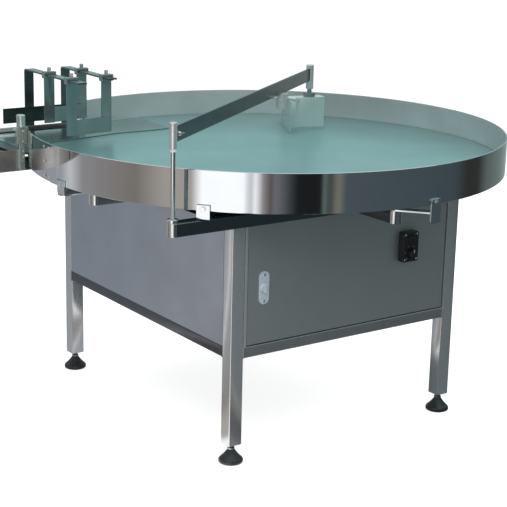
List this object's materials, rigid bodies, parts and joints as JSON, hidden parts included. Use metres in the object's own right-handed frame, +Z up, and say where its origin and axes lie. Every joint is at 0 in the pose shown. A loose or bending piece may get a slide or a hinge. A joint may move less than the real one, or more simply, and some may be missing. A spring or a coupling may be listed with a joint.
{
  "type": "bottle unscrambler",
  "caption": "Rotary bottle unscrambling table: turning disc in a round guard wall on a square-tube cabinet frame, with a sweep arm and an outlet conveyor.",
  "frame": {"origin": "floor level, under the middle of the whole outline", "axes": "+Z up, +X away from the outlet conveyor, -Y towards the cabinet door"},
  "size_m": [1.8384, 1.3764, 0.9282],
  "materials": {
    "polished_steel": "polished stainless sheet and tube",
    "satin_steel": "brushed stainless",
    "disc_steel": "fine ground stainless disc",
    "door_paint": "dark brushed sheet",
    "bright_hardware": "bright fasteners and caps",
    "structural_steel": "plain machined steel",
    "arm_steel": "polished flat bar",
    "foot_rubber": "black coated iron pad",
    "black_plastic": "moulded",
    "slide_plastic": "low-friction sheet",
    "switch_plastic": "moulded rocker",
    "cast_housing": "painted casting",
    "bronze_gear": "cast gear bronze",
    "belt_rubber": "smooth conveyor belt"
  },
  "bodies": {
    "frame": {"ring_brackets": "polished_steel", "bracket_bolts": "bright_hardware", "guard_wall": "polished_steel", "wall_end_flange": "satin_steel", "wall_joint_strip": "polished_steel", "leg_posts": "polished_steel", "leg_plugs": "structural_steel", "lower_rails": "polished_steel", "upper_rails": "polished_steel", "support_beams": "polished_steel", "cross_beam": "polished_steel", "beam_caps": "bright_hardware", "left_panel": "satin_steel", "right_panel": "satin_steel", "rear_panel": "satin_steel", "cabinet_floor": "satin_steel", "door_jambs": "polished_steel", "door_pivots": "bright_hardware", "bearing_plate": "structural_steel", "bearing_housing": "cast_housing", "gearbox_case": "cast_housing", "motor_body": "cast_housing", "fan_cowl": "black_plastic", "post_rod": "bright_hardware", "conveyor_sides": "polished_steel", "slider_bed": "satin_steel", "conveyor_belt": "belt_rubber", "slide_plate": "slide_plastic", "transfer_plate": "satin_steel", "far_guide": "satin_steel", "bridges": "satin_steel", "near_rail": "satin_steel"},
    "turntable": {"turntable_disc": "disc_steel", "disc_ribs": "structural_steel", "hub_flange": "structural_steel", "hub_screws": "bright_hardware", "spindle": "structural_steel", "worm_wheel": "bronze_gear"},
    "worm": {"worm_shaft": "structural_steel"},
    "foot_front_left": {"foot_front_left": "foot_rubber"},
    "foot_front_right": {"foot_front_right": "foot_rubber"},
    "foot_rear_left": {"foot_rear_left": "foot_rubber"},
    "foot_rear_right": {"foot_rear_right": "foot_rubber"},
    "door": {"door_leaf": "door_paint", "latch_plate": "satin_steel", "control_box": "black_plastic"},
    "latch": {"latch_handle": "bright_hardware"},
    "speed_knob": {"speed_knob": "black_plastic"},
    "power_switch": {"power_switch": "switch_plastic"},
    "height_collar": {"height_collar": "bright_hardware"},
    "arm": {"sweep_arm": "arm_steel"},
    "arm_screw": {"arm_wing_screw": "bright_hardware"},
    "cross_rod": {"cross_rod": "bright_hardware"},
    "deflector": {"deflector": "arm_steel", "pivot_rod": "arm_steel"},
    "drive_roller": {"drive_roller": "structural_steel"},
    "tail_roller": {"tail_roller": "structural_steel"},
    "middle_guide": {"middle_guide": "satin_steel"},
    "near_guide": {"near_guide": "satin_steel"}
  },
  "joints": [
    {"name": "table_spin", "type": "hinge", "parent": "frame", "child": "turntable", "pos_m": [0.23084, 0, 0.7], "axis": [0, 0, 1], "continuous": true},
    {"name": "worm_spin", "type": "hinge", "parent": "frame", "child": "worm", "pos_m": [0.30624, -0.18, 0.575], "axis": [0, -1, 0], "continuous": true},
    {"name": "door_hinge", "type": "hinge", "parent": "frame", "child": "door", "pos_m": [0.52884, -0.427, 0.48], "axis": [0, 0, 1], "range_deg": [0, 100]},
    {"name": "latch_turn", "type": "hinge", "parent": "door", "child": "latch", "pos_m": [-0.08066, -0.44, 0.471], "axis": [0, 1, 0], "range_deg": [0, 90]},
    {"name": "speed_turn", "type": "hinge", "parent": "door", "child": "speed_knob", "pos_m": [0.39484, -0.459, 0.5042], "axis": [0, -1, 0], "range_deg": [-135, 135]},
    {"name": "switch_rock", "type": "hinge", "parent": "door", "child": "power_switch", "pos_m": [0.39484, -0.4564, 0.542], "axis": [1, 0, 0], "range_deg": [0, 14]},
    {"name": "arm_height", "type": "slide", "parent": "frame", "child": "height_collar", "axis": [0, 0, 1], "range_m": [0, 0.03]},
    {"name": "arm_swing", "type": "hinge", "parent": "height_collar", "child": "arm", "pos_m": [-0.35376, -0.4325, 0.88], "axis": [0, 0, 1], "range_deg": [-10, 8]},
    {"name": "arm_screw_turn", "type": "hinge", "parent": "arm", "child": "arm_screw", "pos_m": [-0.33376, -0.4175, 0.8894], "axis": [0.6, -0.8, 0], "range_deg": [-90, 90]},
    {"name": "cross_rod_slide", "type": "slide", "parent": "arm", "child": "cross_rod", "axis": [-0.6, 0.8, 0], "range_m": [-0.02, 0.02]},
    {"name": "deflector_swing", "type": "hinge", "parent": "arm", "child": "deflector", "pos_m": [0.58703, 0.2731, 0.83], "axis": [0, 0, 1], "range_deg": [-15, 15]},
    {"name": "drive_roller_spin", "type": "hinge", "parent": "frame", "child": "drive_roller", "pos_m": [-0.89866, 0.47, 0.7017], "axis": [0, 1, 0], "continuous": true},
    {"name": "tail_roller_spin", "type": "hinge", "parent": "frame", "child": "tail_roller", "pos_m": [-0.42966, 0.47, 0.7017], "axis": [0, 1, 0], "continuous": true},
    {"name": "middle_guide_slide", "type": "slide", "parent": "frame", "child": "middle_guide", "axis": [0, 1, 0], "range_m": [-0.04, 0.06]},
    {"name": "near_guide_slide", "type": "slide", "parent": "frame", "child": "near_guide", "axis": [0, 1, 0], "range_m": [-0.03, 0.04]},
    {"name": "level_front_left", "type": "slide", "parent": "frame", "child": "foot_front_left", "axis": [0, 0, -1], "range_m": [0, 0.02]},
    {"name": "level_front_right", "type": "slide", "parent": "frame", "child": "foot_front_right", "axis": [0, 0, -1], "range_m": [0, 0.02]},
    {"name": "level_rear_left", "type": "slide", "parent": "frame", "child": "foot_rear_left", "axis": [0, 0, -1], "range_m": [0, 0.02]},
    {"name": "level_rear_right", "type": "slide", "parent": "frame", "child": "foot_rear_right", "axis": [0, 0, -1], "range_m": [0, 0.02]}
  ],
  "couplings": [
    {"joint": "worm_spin", "follows": "table_spin", "ratio": -30},
    {"joint": "tail_roller_spin", "follows": "drive_roller_spin", "ratio": 1}
  ]
}
